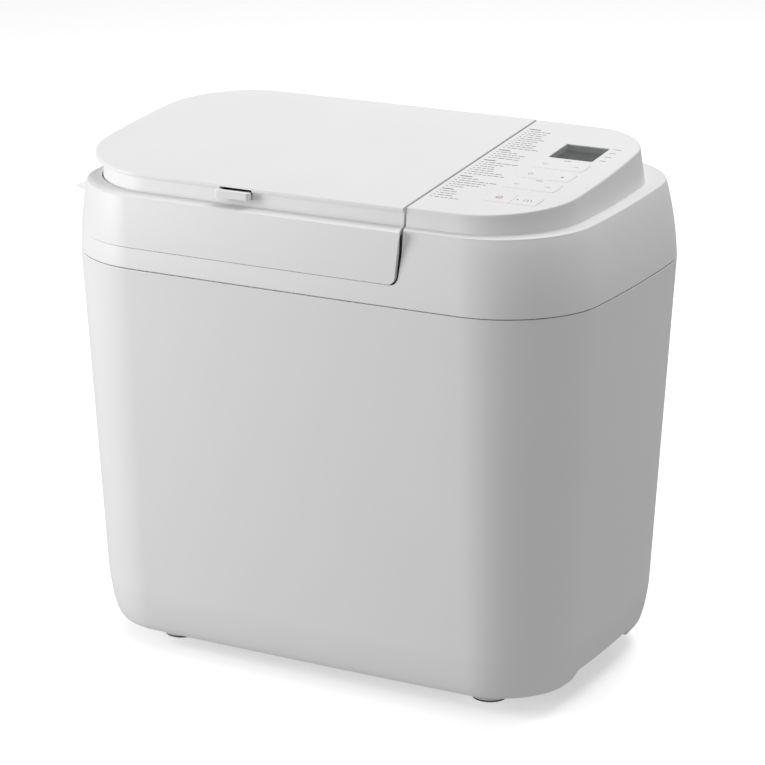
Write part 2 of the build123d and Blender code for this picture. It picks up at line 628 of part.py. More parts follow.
save("lower_housing", lower_housing())
save("bottom_cover", bottom_cover())
for name, place in zip(("front_left", "front_right", "rear_left", "rear_right"), foot_places()):
    save(f"foot_{name}", foot(*place))
save("foot_pads", foot_pads())
save("upper_housing", upper_housing())
save("lid_hinge_pins", hinge_pins())
save("display_window", display_window())
save("display_module", display_module())
for name, row in zip(("program_key", "timer_key", "crust_key"), KEY_ROWS):
    save(name, rocker_key(row))
save("stop_key", push_key(PANEL_X - KEY_SIZE[0] / 4 - 0.2))
save("start_key", push_key(PANEL_X + KEY_SIZE[0] / 4 + 0.2))
save("control_board", control_board())
save("tact_switches", tact_switches())
save("main_lid", main_lid())
save("steam_visor", steam_visor())
save("lid_liner", lid_liner())
save("lid_seal", lid_seal())
save("liner_screws", liner_screws())
save("nut_dispenser", dispenser_box(*NUT))
save("yeast_dispenser", dispenser_box(*YEAST))
save("nut_flap", dispenser_flap(*NUT))
save("yeast_flap", dispenser_flap(*YEAST))
save("dispenser_lid", dispenser_lid())
save("dispenser_hinge_pins", dispenser_pins())
save("dispenser_inner", dispenser_inner())
save("dispenser_gasket", dispenser_gasket())
save("latch_tab", latch_tab())
save("oven_chamber", oven_chamber())
save("heater_element", heater_element())
save("temperature_sensor", temperature_sensor())
save("pan_seat", pan_seat())
save("bread_pan", bread_pan())
save("pan_foot", pan_foot())
save("pan_bushing", pan_bushing())
save("pan_handle", pan_handle())
save("drive_shaft", drive_shaft())
save("blade_shaft", blade_shaft())
save("kneading_blade", kneading_blade())
save("large_pulley", pulley(CHAMBER_X, LARGE_PULLEY_R, 4.0))
save("motor_pulley", pulley(MOTOR_X, MOTOR_PULLEY_R, 4.0))
save("drive_belt", drive_belt())
save("bearing_housing", bearing_housing())
save("chassis", chassis())
save("chamber_stands", chamber_stands())
save("motor", motor())
save("motor_shaft", motor_shaft())
save("power_board", power_board())
save("run_capacitor", run_capacitor())
save("heat_shield", heat_shield())
save("cord_gland", cord_gland())
save("base_screws", base_screws())
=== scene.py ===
# %% [markdown]
# # A bread machine, one shell at a time
# The machine is four white mouldings that close on each other: a body, a housing with a key panel,
# a lid over the baking chamber and a smaller lid over the dispensers. The engineering model brings
# every part in its right place, with flat edges. Here the mouldings a person sees get their soft
# edges, their prints and their finish, and the parts inside get their materials.
# %% Load the engineering model
import bpy
import bmesh
import json
import math
import random
from mathutils import Matrix, Vector


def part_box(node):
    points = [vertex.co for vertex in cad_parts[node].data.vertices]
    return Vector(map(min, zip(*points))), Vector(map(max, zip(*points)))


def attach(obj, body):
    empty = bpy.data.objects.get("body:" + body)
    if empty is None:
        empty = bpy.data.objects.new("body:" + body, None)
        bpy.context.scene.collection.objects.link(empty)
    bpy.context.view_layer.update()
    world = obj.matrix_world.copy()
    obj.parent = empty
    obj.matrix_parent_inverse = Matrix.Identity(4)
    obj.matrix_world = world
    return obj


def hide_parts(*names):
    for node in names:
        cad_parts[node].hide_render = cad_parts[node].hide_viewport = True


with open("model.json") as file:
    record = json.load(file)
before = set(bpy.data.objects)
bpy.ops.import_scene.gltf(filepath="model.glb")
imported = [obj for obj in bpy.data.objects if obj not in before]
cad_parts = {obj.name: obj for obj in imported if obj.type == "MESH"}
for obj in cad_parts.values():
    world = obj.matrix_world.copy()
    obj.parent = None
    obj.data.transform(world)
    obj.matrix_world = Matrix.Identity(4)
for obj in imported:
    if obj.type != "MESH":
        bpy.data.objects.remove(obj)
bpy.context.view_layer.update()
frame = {"nodes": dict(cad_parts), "record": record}
nodes = frame["nodes"]

# %% [markdown]
# ## The camera
# A product is usually shown from a little above and to one side, with a long lens from a few steps
# away, so that its upright edges stay nearly parallel. The camera looks at the middle of the machine.
# %% Camera
AIM = Vector((0.0041, 0.0023, 0.1954))
AZIMUTH = math.radians(28.09)
ELEVATION = math.radians(17.37)
DISTANCE = 2.196
LENS = 141.6

level_reach = math.cos(ELEVATION)
away = Vector((math.sin(AZIMUTH) * level_reach, -math.cos(AZIMUTH) * level_reach, math.sin(ELEVATION)))
camera = bpy.data.objects.new("camera", bpy.data.cameras.new("camera"))
camera.data.lens = LENS
camera.location = AIM + away * DISTANCE
camera.rotation_mode = "QUATERNION"
camera.rotation_quaternion = (-away).to_track_quat("-Z", "Y")
bpy.context.scene.collection.objects.link(camera)
bpy.context.scene.camera = camera
print("camera at", [round(c, 3) for c in camera.location])

# %% [markdown]
# ## The sizes that shape the case
# A moulding is easiest to think about in millimetres, so shapes are made in millimetres and scaled
# to metres at the end. The outer sizes are read from the engineering model, and the rest are the few
# numbers that a designer would put on a drawing: heights, slopes, corner radii and gaps.
# %% Sizes
def box_mm(node):
    """The lowest and highest corners of a node, in millimetres."""
    low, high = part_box(node)
    return low * 1000, high * 1000


body_low, body_high = box_mm("lower_housing")
HALF_WIDTH = body_high.x
HALF_DEPTH = body_high.y
BASE_Z = body_low.z
RIM_Z = body_high.z
SEAM = 0.6
PARTING_Z = RIM_Z + SEAM
WALL = 2.6
SIDE_BULGE = 7.0
END_BULGE = 2.0
CORNERS = (68.0, 66.0, 60.0, 66.0)
LEDGE_Z = 348.5
LEDGE_SLOPE = 0.024
TOP_Z = 369.3
TOP_SLOPE = 0.098
TILT = math.atan(TOP_SLOPE)
LID_RIGHT = 77.4
LID_GAP = 2.0
PANEL_LEFT = LID_RIGHT + LID_GAP
LID_STEP = 5.0
LID_STEP_YS = (-107.0, -121.0)
LID_BACK = 112.0
LID_WALL = 2.4
SKIRT_Z = 311.0
SKIRT_CORNER = 5.0
WELL_Z = 342.0
DECK_Z = 300.0
PLATE = 3.0
HINGE_XS = (-120.0, 20.0)
MAIN_AXIS = (121.5, 338.0)
COVER_HINGE_XS = (-122.0, 44.0)
COVER_AXIS = (105.0, 355.0)
print("case", round(2 * HALF_WIDTH), "x", round(2 * HALF_DEPTH), "mm, parting line at", round(PARTING_Z, 1))

# %% [markdown]
# ## Rounded outlines
# Every level of the case is the same kind of line: a rectangle whose corners are arcs and whose sides
# bow out a little. A vertex bevel turns each corner of a single flat face into an arc, the four long
# edges are divided, and the points are then pushed outwards, most in the middle of a side. All the
# outlines have the same number of points, so bridging two of them gives a clean band of quads.
# %% Outlines
CORNER_STEPS = 12
SIDE_CUTS = 11


def new_shape():
    """An empty bmesh that remembers which points are already placed."""
    shape = bmesh.new()
    shape.verts.layers.int.new("placed")
    return shape


def loose_points(shape):
    placed = shape.verts.layers.int["placed"]
    return [v for v in shape.verts if v[placed] == 0]


def settle(shape):
    """Marks the loose points as placed, and returns the edges between them."""
    placed = shape.verts.layers.int["placed"]
    points = loose_points(shape)
    edges = list({edge for point in points for edge in point.link_edges})
    for point in points:
        point[placed] = 1
    return edges


def round_loop(shape, sides, radii, z=0.0, slope=0.0, bow=(0.0, 0.0), place=None, steps=CORNER_STEPS, cuts=SIDE_CUTS):
    """One closed outline. sides is left, right, front, back; radii start at the front left corner."""
    left, right, front, back = sides
    low_x, high_x = left + bow[0], right - bow[0]
    low_y, high_y = front + bow[1], back - bow[1]
    corners = [shape.verts.new((x, y, 0)) for x, y in
               ((low_x, low_y), (high_x, low_y), (high_x, high_y), (low_x, high_y))]
    shape.faces.new(corners)
    for corner, radius in zip(corners, radii):
        bmesh.ops.bevel(shape, geom=[corner], offset=radius, offset_type="OFFSET", segments=steps, profile=0.5,
                        affect="VERTICES", material=-1)
    edges = {edge for point in loose_points(shape) for edge in point.link_edges}
    sides_only = sorted(edges, key=lambda edge: edge.calc_length())[-4:]
    bmesh.ops.subdivide_edges(shape, edges=sides_only, cuts=cuts)
    points = loose_points(shape)
    bmesh.ops.delete(shape, geom=list({face for point in points for face in point.link_faces}), context="FACES_ONLY")
    middle = Vector(((left + right) / 2, (front + back) / 2, 0))
    half_x, half_y = (high_x - low_x) / 2, (high_y - low_y) / 2
    for point in points:
        across = (point.co.x - middle.x) / half_x
        along = (point.co.y - middle.y) / half_y
        point.co.x += bow[0] * across * (1 - along * along)
        point.co.y += bow[1] * along * (1 - across * across)
        point.co.z = z + slope * point.co.y
    if place is not None:
        bmesh.ops.transform(shape, matrix=place, verts=points)
    return settle(shape)


def bridge(shape, loops):
    """Joins each outline to the next with a band of quads."""
    for lower, upper in zip(loops, loops[1:]):
        bmesh.ops.bridge_loops(shape, edges=lower + upper)


def close_ends(shape, *loops):
    for loop in loops:
        bmesh.ops.edgeloop_fill(shape, edges=loop)
    bmesh.ops.recalc_face_normals(shape, faces=shape.faces)
    return shape


# %% [markdown]
# ## Levels of the case
# A level is an outline with a height, a slope and radii. Two levels can be mixed, with the sizes and
# the height mixed by different amounts. The housing's wall is mixed that way: it rises evenly, and it
# leans in more and more towards the ledge, where a small quarter turn rounds the edge.
# %% Levels
def level(sides, radii, z, slope=0.0):
    return {"sides": tuple(sides), "radii": tuple(radii), "z": z, "slope": slope}


def mix(a, b, plan, rise):
    """A level between a and b: plan mixes the outline and rise mixes the height."""
    return level([p + (q - p) * plan for p, q in zip(a["sides"], b["sides"])],
                 [p + (q - p) * plan for p, q in zip(a["radii"], b["radii"])],
                 a["z"] + (b["z"] - a["z"]) * rise, a["slope"] + (b["slope"] - a["slope"]) * rise)


def grown(a, grow=0.0, lift=0.0):
    left, right, front, back = a["sides"]
    return level((left - grow, right + grow, front - grow, back + grow), [r + grow for r in a["radii"]],
                 a["z"] + lift, a["slope"])


def rolled_edge(a, radius, steps=5):
    """The levels that round a wall over into the flat top a: up, then in."""
    turns = [math.pi / 2 * k / steps for k in range(steps + 1)]
    return [grown(a, -radius * (1 - math.cos(t)), -radius * (1 - math.sin(t))) for t in turns]


def stack(levels):
    """A closed form through all the levels."""
    shape = new_shape()
    loops = [round_loop(shape, a["sides"], a["radii"], a["z"], a["slope"], (SIDE_BULGE, END_BULGE)) for a in levels]
    bridge(shape, loops)
    return close_ends(shape, loops[0], loops[-1])


def case_level(z, inset):
    sides = (-HALF_WIDTH + inset, HALF_WIDTH - inset, -HALF_DEPTH + 1.1 * inset, HALF_DEPTH - 1.1 * inset)
    return level(sides, [corner - inset for corner in CORNERS], z)


WALL_STEPS = 10
PANEL_LEDGE = (-114.5, 130.0)
LID_LEDGE = (-121.0, 126.0)


def housing_levels(ledge_ys):
    """From the parting line up to the ledge."""
    parting = level((-HALF_WIDTH, HALF_WIDTH, -HALF_DEPTH, HALF_DEPTH), CORNERS, PARTING_Z)
    ledge = level((-198.5, 193.0, *ledge_ys), (56, 64, 57, 58), LEDGE_Z, LEDGE_SLOPE)
    rises = [k / WALL_STEPS for k in range(WALL_STEPS)]
    return [mix(parting, ledge, 0.3 * r + 0.7 * r * r, r) for r in rises] + rolled_edge(ledge, 0.9, 4)


ISLAND_FOOT = level((-194.6, 182.8, -105.6, 106.6), (58, 59, 46, 52), LEDGE_Z, LEDGE_SLOPE)
ISLAND_TOP = level((-194.6, 180.0, -104.6, 103.4), (58, 58, 45, 52), TOP_Z, TOP_SLOPE)
print("levels in the housing:", len(housing_levels(PANEL_LEDGE)))

# %% [markdown]
# ## Cutting and joining
# Mouldings have pockets, slots and a hollow inside. A Boolean cuts one closed form with another. It
# is reliable here because every form is closed and made of even bands. The outside and the hollow
# are both stacks of levels, so the wall has the same thickness everywhere.
# %% Boolean helper
def as_object(shape, name):
    mesh = bpy.data.meshes.new(name)
    shape.to_mesh(mesh)
    made = bpy.data.objects.new(name, mesh)
    bpy.context.scene.collection.objects.link(made)
    return made


def carve(shape, tool, how="DIFFERENCE"):
    """Cuts shape with tool, keeps what they share, or joins them. Uses both up."""
    work, cutter = as_object(shape, "work"), as_object(tool, "cutter")
    step = work.modifiers.new("carve", "BOOLEAN")
    step.operation, step.solver, step.object = how, "EXACT", cutter
    result = bmesh.new()
    result.from_object(work, bpy.context.evaluated_depsgraph_get())
    for leftover in (work, cutter):
        mesh = leftover.data
        bpy.data.objects.remove(leftover)
        bpy.data.meshes.remove(mesh)
    shape.free()
    tool.free()
    return result


def block(x0, x1, y0, y1, z0, z1, radius=0.0, place=None):
    """A closed upright block, its upright corners rounded if a radius is given."""
    shape = new_shape()
    if radius:
        loops = [round_loop(shape, (x0, x1, y0, y1), [radius] * 4, z, steps=5, cuts=1) for z in (z0, z1)]
        bridge(shape, loops)
        close_ends(shape, *loops)
    else:
        size = Matrix.Diagonal((x1 - x0, y1 - y0, z1 - z0, 1))
        middle = Matrix.Translation(((x0 + x1) / 2, (y0 + y1) / 2, (z0 + z1) / 2))
        bmesh.ops.create_cube(shape, size=1, matrix=middle @ size)
    if place is not None:
        bmesh.ops.transform(shape, matrix=place, verts=shape.verts)
    return shape


def rod_x(x0, x1, y, z, radius, sides=32):
    """A closed rod along X."""
    shape = new_shape()
    turn = Matrix.Translation(((x0 + x1) / 2, y, z)) @ Matrix.Rotation(math.pi / 2, 4, "Y")
    bmesh.ops.create_cone(shape, cap_ends=True, segments=sides, radius1=radius, radius2=radius, depth=x1 - x0,
                          matrix=turn)
    return shape


def gathered(shapes):
    """Several closed forms in one bmesh."""
    whole = new_shape()
    for shape in shapes:
        mesh = bpy.data.meshes.new("part")
        shape.to_mesh(mesh)
        whole.from_mesh(mesh)
        bpy.data.meshes.remove(mesh)
        shape.free()
    return whole


# %% [markdown]
# ## Finishes
# White appliance plastic is not a flat colour. The mould is spark-eroded, which leaves a grain finer
# than a tenth of a millimetre that softens reflections, and the surface varies very slightly in tone
# and gloss over a few centimetres. Two noise patterns do this: a fine one drives bump, and a broad
# one drives colour and roughness. Both read Object coordinates, so they stay with the part.
# %% Finishes
def finish(name, colour, roughness, grain=1600.0, depth=0.00002, tone=0.02, metallic=0.0, gloss_spread=0.05,
           stretch=(1, 1, 1), broad=14.0, **sockets):
    """A node material: a fine grain for bump, and a broad pattern for tone and roughness."""
    material = bpy.data.materials.new(name)
    material.use_nodes = True
    tree = material.node_tree
    shader = tree.nodes["Principled BSDF"]
    shader.inputs["Metallic"].default_value = metallic
    for socket, value in sockets.items():
        shader.inputs[socket].default_value = value
    place = tree.nodes.new("ShaderNodeTexCoord")
    lay = tree.nodes.new("ShaderNodeMapping")
    lay.inputs["Scale"].default_value = stretch
    tree.links.new(place.outputs["Object"], lay.inputs["Vector"])
    fine = tree.nodes.new("ShaderNodeTexNoise")
    fine.inputs["Scale"].default_value = grain
    fine.inputs["Detail"].default_value = 3
    wide = tree.nodes.new("ShaderNodeTexNoise")
    wide.inputs["Scale"].default_value = broad
    for noise in (fine, wide):
        tree.links.new(lay.outputs["Vector"], noise.inputs["Vector"])
    bump = tree.nodes.new("ShaderNodeBump")
    bump.inputs["Strength"].default_value = 0.6
    bump.inputs["Distance"].default_value = depth
    tree.links.new(fine.outputs["Fac"], bump.inputs["Height"])
    tree.links.new(bump.outputs["Normal"], shader.inputs["Normal"])
    shade = tree.nodes.new("ShaderNodeMix")
    shade.data_type = "RGBA"
    shade.inputs["A"].default_value = (*[c * (1 - tone) for c in colour], 1)
    shade.inputs["B"].default_value = (*[min(1.0, c * (1 + tone)) for c in colour], 1)
    tree.links.new(wide.outputs["Fac"], shade.inputs["Factor"])
    tree.links.new(shade.outputs["Result"], shader.inputs["Base Color"])
    gloss = tree.nodes.new("ShaderNodeMapRange")
    gloss.inputs["To Min"].default_value = max(0.02, roughness - gloss_spread)
    gloss.inputs["To Max"].default_value = roughness + gloss_spread
    tree.links.new(wide.outputs["Fac"], gloss.inputs["Value"])
    tree.links.new(gloss.outputs["Result"], shader.inputs["Roughness"])
    return material


finishes = {
    "case_white": finish("case_white", (0.84, 0.84, 0.845), 0.46, tone=0.012),
    "key_white": finish("key_white", (0.87, 0.87, 0.87), 0.38, tone=0.01),
    "foot_white": finish("foot_white", (0.72, 0.72, 0.725), 0.5, tone=0.02),
    "rubber_grey": finish("rubber_grey", (0.09, 0.09, 0.095), 0.75, grain=900, depth=0.00005, tone=0.1),
    "liner_grey": finish("liner_grey", (0.34, 0.345, 0.35), 0.5, tone=0.03),
    "seal_silicone": finish("seal_silicone", (0.42, 0.43, 0.44), 0.55, tone=0.05, **{"Subsurface Weight": 0.1}),
    "display_lens": finish("display_lens", (0.05, 0.055, 0.055), 0.08, depth=0.000002, gloss_spread=0.02),
    "display_dark": finish("display_dark", (0.1, 0.105, 0.105), 0.4, tone=0.05),
    "board_green": finish("board_green", (0.02, 0.15, 0.06), 0.35, tone=0.15, broad=220.0),
    "black_plastic": finish("black_plastic", (0.02, 0.02, 0.021), 0.45, tone=0.1),
    "steel_plate": finish("steel_plate", (0.56, 0.56, 0.55), 0.34, metallic=1.0, stretch=(1, 0.05, 0.4), tone=0.06),
    "bright_steel": finish("bright_steel", (0.7, 0.7, 0.69), 0.2, metallic=1.0, stretch=(1, 1, 0.1), tone=0.04),
    "heater_sheath": finish("heater_sheath", (0.2, 0.18, 0.16), 0.42, metallic=1.0, tone=0.25, broad=60.0),
    "nonstick": finish("nonstick", (0.045, 0.046, 0.048), 0.36, grain=700, depth=0.00006, tone=0.3, broad=900.0),
    "cast_light": finish("cast_light", (0.5, 0.5, 0.5), 0.5, metallic=1.0, grain=500, depth=0.0001, tone=0.1),
    "belt_rubber": finish("belt_rubber", (0.03, 0.03, 0.03), 0.7, grain=1200, depth=0.00006, tone=0.15),
    "capacitor_can": finish("capacitor_can", (0.6, 0.6, 0.58), 0.3, metallic=0.6, tone=0.05),
}
slot_of = {part["node"]: part["material_slot"] for part in frame["record"]["subparts"]}
for name, node in nodes.items():
    for held in node.material_slots:
        held.material = finishes[slot_of[name]]
print("finishes:", len(finishes), "on", len(nodes), "nodes")

# %% [markdown]
# ## From shape to piece
# A finished shape is scaled to metres, welded, and its flat areas are merged. Edges sharper than
# about thirty degrees stay crisp, the rest shade smoothly, and weighted normals let a large flat face
# keep its own direction so that only the rolled edge catches the light.
# %% Piece helper
CRISP = math.radians(32)


def piece(shape, name, body, slot, *stands_for, crisp=CRISP, weld=0.002):
    """Makes the object, gives it its finish, and fixes it to a moving body."""
    bmesh.ops.remove_doubles(shape, verts=shape.verts, dist=weld)
    bmesh.ops.dissolve_degenerate(shape, edges=shape.edges, dist=0.001)
    bmesh.ops.dissolve_limit(shape, angle_limit=math.radians(0.15), verts=shape.verts, edges=shape.edges)
    bmesh.ops.recalc_face_normals(shape, faces=shape.faces)
    bmesh.ops.scale(shape, vec=(0.001, 0.001, 0.001), verts=shape.verts)
    made = as_object(shape, name)
    shape.free()
    made.data.shade_smooth()
    made.data.set_sharp_from_angle(angle=crisp)
    weight = made.modifiers.new("weighted normals", "WEIGHTED_NORMAL")
    weight.keep_sharp = True
    made.data.materials.append(finishes[slot])
    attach(made, body)
    if stands_for:
        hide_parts(*stands_for)
    print(name, "faces:", len(made.data.polygons))
    return made


# %% [markdown]
# ## The body
# The lower moulding is a tall tub without a bottom. Its walls lean in a little so that it leaves the
# mould, and curl under at the foot. A stack of levels gives the outside, and the same stack moved in
# by the wall gives the hollow. Hand grips are cut through the bottom edge at both ends, and air slots
# and the hole for the cord through the back.
# %% Body
CASE_PROFILE = ((48.0, 12.6), (41.0, 13.4), (35.0, 14.3), (30.0, 15.1), (25.0, 16.2), (20.0, 17.6), (17.2, 18.8),
                (BASE_Z, 20.2))


def case_stack(grow, low, high):
    levels = [case_level(z, inset) for z, inset in reversed(CASE_PROFILE)]
    bare = case_level(RIM_Z, 0.0)
    upright = [mix(levels[-1], bare, k / 5, k / 5) for k in range(1, 6)]
    levels = [grown(a, grow) for a in levels + upright]
    if low is not None:
        levels.insert(0, grown(levels[0], 0, low))
    if high is not None:
        levels.append(grown(levels[-1], 0, high))
    else:
        levels[-1:] = rolled_edge(levels[-1], 0.8, 3)
    return stack(levels)


grips = []
for side in (-1, 1):
    grip = block(side * 180 - 30, side * 180 + 30, -48, 48, 2, 22)
    across = [edge for edge in grip.edges if abs(edge.verts[0].co.x - edge.verts[1].co.x) > 1]
    bmesh.ops.bevel(grip, geom=across, offset=7, offset_type="OFFSET", segments=6, profile=0.5, affect="EDGES",
                    material=-1)
    grips.append(grip)
slots = [block(92 + 9 * k, 96 + 9 * k, 90, 150, 62, 112) for k in range(7)]
gland_low, gland_high = box_mm("cord_gland")
gland_x = (gland_low.x + gland_high.x) / 2
gland_z = (gland_low.z + gland_high.z) / 2
cord_hole = new_shape()
bmesh.ops.create_cone(cord_hole, cap_ends=True, segments=40, radius1=8.05, radius2=8.05, depth=40,
                      matrix=Matrix.Translation((gland_x, 113, gland_z)) @ Matrix.Rotation(math.pi / 2, 4, "X"))
body_form = carve(case_stack(0.0, None, None), case_stack(-WALL, -6.0, 6.0))
body_form = carve(body_form, gathered(grips + slots + [cord_hole]))
piece(body_form, "body_shell", "base", "case_white", "lower_housing")

# %% [markdown]
# ## The lid's share of the housing
# Seen from above, the lids take the left two thirds, up to a straight gap, and the lid's front skirt
# runs a few millimetres further right than its top. One prism describes that share. It limits the
# lid, and grown by the gap it cuts the room for the lid out of the housing.
# %% Lid prism
def lid_block(gap, low, high, corner=0.0):
    shape = new_shape()
    right = LID_RIGHT + gap
    front = right + LID_STEP
    step_back, step_front = LID_STEP_YS
    outline = ((-260, -200), (front, -200), (front, step_front), (right, step_back), (right, 200), (-260, 200))
    face = shape.faces.new([shape.verts.new((x, y, low)) for x, y in outline])
    risen = bmesh.ops.extrude_face_region(shape, geom=[face])
    bmesh.ops.translate(shape, vec=(0, 0, high - low),
                        verts=[item for item in risen["geom"] if isinstance(item, bmesh.types.BMVert)])
    if corner:
        lower = [edge for edge in shape.edges
                 if all(abs(v.co.x - front) < 0.01 and abs(v.co.z - low) < 0.01 for v in edge.verts)]
        bmesh.ops.bevel(shape, geom=lower, offset=corner, offset_type="OFFSET", segments=8, profile=0.5,
                        affect="EDGES", material=-1)
    bmesh.ops.recalc_face_normals(shape, faces=shape.faces)
    return shape


def on_side(point, gap):
    """Whether a point lies on the right-hand side of the prism."""
    right = LID_RIGHT + gap
    if point.y > LID_STEP_YS[0]:
        return abs(point.x - right) < 0.05
    share = min(1.0, (LID_STEP_YS[0] - point.y) / (LID_STEP_YS[0] - LID_STEP_YS[1]))
    return abs(point.x - right - LID_STEP * share) < 0.05


def soften(shape, wanted, offset, segments=3):
    """Rounds the crisp edges whose two ends pass a test."""
    bmesh.ops.remove_doubles(shape, verts=shape.verts, dist=0.01)
    bmesh.ops.dissolve_limit(shape, angle_limit=math.radians(0.2), verts=shape.verts, edges=shape.edges)
    crisp = [edge for edge in shape.edges if wanted(edge.verts[0].co, edge.verts[1].co)
             and len(edge.link_faces) == 2 and edge.calc_face_angle() > math.radians(40)]
    bmesh.ops.bevel(shape, geom=crisp, offset=offset, offset_type="OFFSET", segments=segments, profile=0.5,
                    affect="EDGES", clamp_overlap=True, material=-1)
    print("softened edges:", len(crisp))


# %% [markdown]
# ## The key panel's surface
# The panel slopes up to the back. Its holes for the display and the keys belong to that sloping
# plane, so they are drawn flat and then laid on it. Filling between the outer line and the holes
# gives the top face, and each hole's edge is pulled down to make a pocket.
# %% Panel places
PANEL_X = 139.6
KEY_SIZE = (39.6, 17.0)
KEY_ROWS = (11.5, -11.5, -34.5)
LAST_ROW = -64.0
KEY_RAISE = 0.3
KEY_GAP = 0.28
DISPLAY_Y = 42.5
DISPLAY_SIZE = (33.6, 31.6)


def on_top(x, y, up=0.0):
    """The place of a point on the sloping top, lifted by up."""
    return (Matrix.Translation((x, y, TOP_Z + TOP_SLOPE * y)) @ Matrix.Rotation(TILT, 4, "X")
            @ Matrix.Translation((0, 0, up)))


def panel_hole(shape, x, y, width, depth, radius):
    sides = (-width / 2, width / 2, -depth / 2, depth / 2)
    return round_loop(shape, sides, [radius] * 4, place=on_top(x, y), steps=5, cuts=1)


def housing_form(ledge_ys):
    """The outside of the housing and the panel, with pockets for the display and the keys."""
    shape = new_shape()
    levels = housing_levels(ledge_ys)
    foot = [grown(ISLAND_FOOT, 1.0, 0.0), grown(ISLAND_FOOT, 0.3, 0.3), grown(ISLAND_FOOT, 0.0, 1.0)]
    levels = [grown(levels[0], -0.5), grown(levels[0], 0, 0.5)] + levels[1:] + foot
    levels = levels + rolled_edge(ISLAND_TOP, 1.5)
    loops = [round_loop(shape, a["sides"], a["radii"], a["z"], a["slope"], (SIDE_BULGE, END_BULGE)) for a in levels]
    bridge(shape, loops)
    holes = [panel_hole(shape, PANEL_X, DISPLAY_Y, *DISPLAY_SIZE, 1.2)]
    for row in KEY_ROWS + (LAST_ROW,):
        holes.append(panel_hole(shape, PANEL_X, row, KEY_SIZE[0] + KEY_GAP, KEY_SIZE[1] + KEY_GAP, 3.14))
    bmesh.ops.triangle_fill(shape, use_beauty=True, edges=loops[-1] + [edge for hole in holes for edge in hole])
    down = on_top(0, 0).to_3x3() @ Vector((0, 0, -7))
    for hole in holes:
        pulled = bmesh.ops.extrude_edge_only(shape, edges=hole)
        bmesh.ops.translate(shape, vec=down, verts=[g for g in pulled["geom"] if isinstance(g, bmesh.types.BMVert)])
        bmesh.ops.edgeloop_fill(shape, edges=[g for g in pulled["geom"] if isinstance(g, bmesh.types.BMEdge)])
    return close_ends(shape, loops[0])


# %% [markdown]
# ## The housing with the key panel
# The upper moulding is the ledge and raised panel on the right, a low band under the lid on the left,
# a wall between the two, the deck round the mouth of the chamber, and a rail at the back that holds
# the hinge pins. They are made as closed forms and cut with the lid's prism.
# %% Housing
def hollow_form(ledge_ys, wall):
    outside = housing_levels(ledge_ys)
    levels = [grown(a, -wall) for a in outside[:WALL_STEPS]]
    levels.insert(0, grown(levels[0], 0, -6))
    levels += [grown(a, -wall, -wall) for a in (outside[-1], ISLAND_FOOT, ISLAND_TOP)]
    return stack(levels)


def under_deck(ledge_ys, wall):
    levels = [grown(a, -wall) for a in housing_levels(ledge_ys)]
    return stack([grown(levels[0], 0, -6)] + levels)


dividing_wall = carve(lid_block(LID_GAP + WALL, DECK_Z - 3, 420), lid_block(LID_GAP, DECK_Z - 4, 421))
hollow = carve(hollow_form(PANEL_LEDGE, WALL), dividing_wall)
housing = carve(housing_form(PANEL_LEDGE), hollow)
lid_room = lid_block(LID_GAP, SKIRT_Z - SEAM, 420, SKIRT_CORNER + LID_GAP)
housing = carve(housing, lid_room)
soften(housing, lambda a, b: min(a.z, b.z) > SKIRT_Z + 8 and on_side(a, LID_GAP) and on_side(b, LID_GAP), 0.8)

chamber_low, chamber_high = box_mm("oven_chamber")
mouth_middle = (chamber_low.x + chamber_high.x) / 2
deck = carve(under_deck(LID_LEDGE, WALL), block(-260, PANEL_LEFT + WALL, -200, 200, DECK_Z - 3, DECK_Z), "INTERSECT")
mouth = block(mouth_middle - 100.5, mouth_middle + 100.5, -88.5, 88.5, 290, 305, 40.5)
deck = carve(deck, mouth)

rail_outside = under_deck(LID_LEDGE, 0.0)
rail = carve(rail_outside, block(-196, PANEL_LEFT, LID_BACK + 2.5, 200, DECK_Z - 1, 343), "INTERSECT")
rail_rooms = gathered([block(x0, x1, LID_BACK + 5, 200, DECK_Z - 4, 340.4)
                       for x0, x1 in ((-190, -142), (-98, -2), (42, PANEL_LEFT - 4))])
rail = carve(rail, carve(rail_rooms, under_deck(LID_LEDGE, WALL), "INTERSECT"))
hinge_slots = [block(x - 10.5, x + 10.5, LID_BACK, 140, MAIN_AXIS[1] - 6.5, MAIN_AXIS[1] + 8) for x in HINGE_XS]
rail = carve(rail, gathered(hinge_slots))
piece(gathered([housing, deck, rail]), "housing_shell", "base", "case_white", "upper_housing")

# %% [markdown]
# ## The main lid
# The lid is a deep tray turned over: a skirt, a ledge with the same small rounding as the panel
# side, and a well in the middle that holds the dispensers. The well is part of the same stack, where
# the levels turn inwards and go down again. The right end follows the prism, with a rounded lower
# corner, and its skirt is open at that end. Steam slots open in the left skirt.
# %% Main lid
nut_low, nut_high = box_mm("nut_dispenser")
yeast_low, yeast_high = box_mm("yeast_dispenser")
HOPPER_RIM = 4.0


def hopper_room(low, high):
    """The hole in the floor of the well that a hopper hangs in, inside its rim."""
    return block(low.x + HOPPER_RIM, high.x - HOPPER_RIM, low.y + HOPPER_RIM, high.y - HOPPER_RIM, 330, 350, 3)


def lid_form(wall, floor, skirt):
    """The lid's outside, or its hollow if wall is more than nothing."""
    levels = [grown(a, -wall) for a in housing_levels(LID_LEDGE)]
    foot = dict(mix(levels[2], levels[3], 0.5, 0.5), z=skirt)
    upper = levels[3:] if wall == 0 else levels[3:WALL_STEPS] + [grown(levels[-1], 0, -wall)]
    levels = [foot] + upper
    rim = grown(ISLAND_FOOT, 0.9 + wall, -wall)
    if wall == 0:
        levels += [grown(rim, 0.9), grown(rim, 0.25, -0.25), grown(rim, 0, -0.9)]
    else:
        levels.append(rim)
    well = level(rim["sides"], rim["radii"], floor)
    return stack(levels + [well])


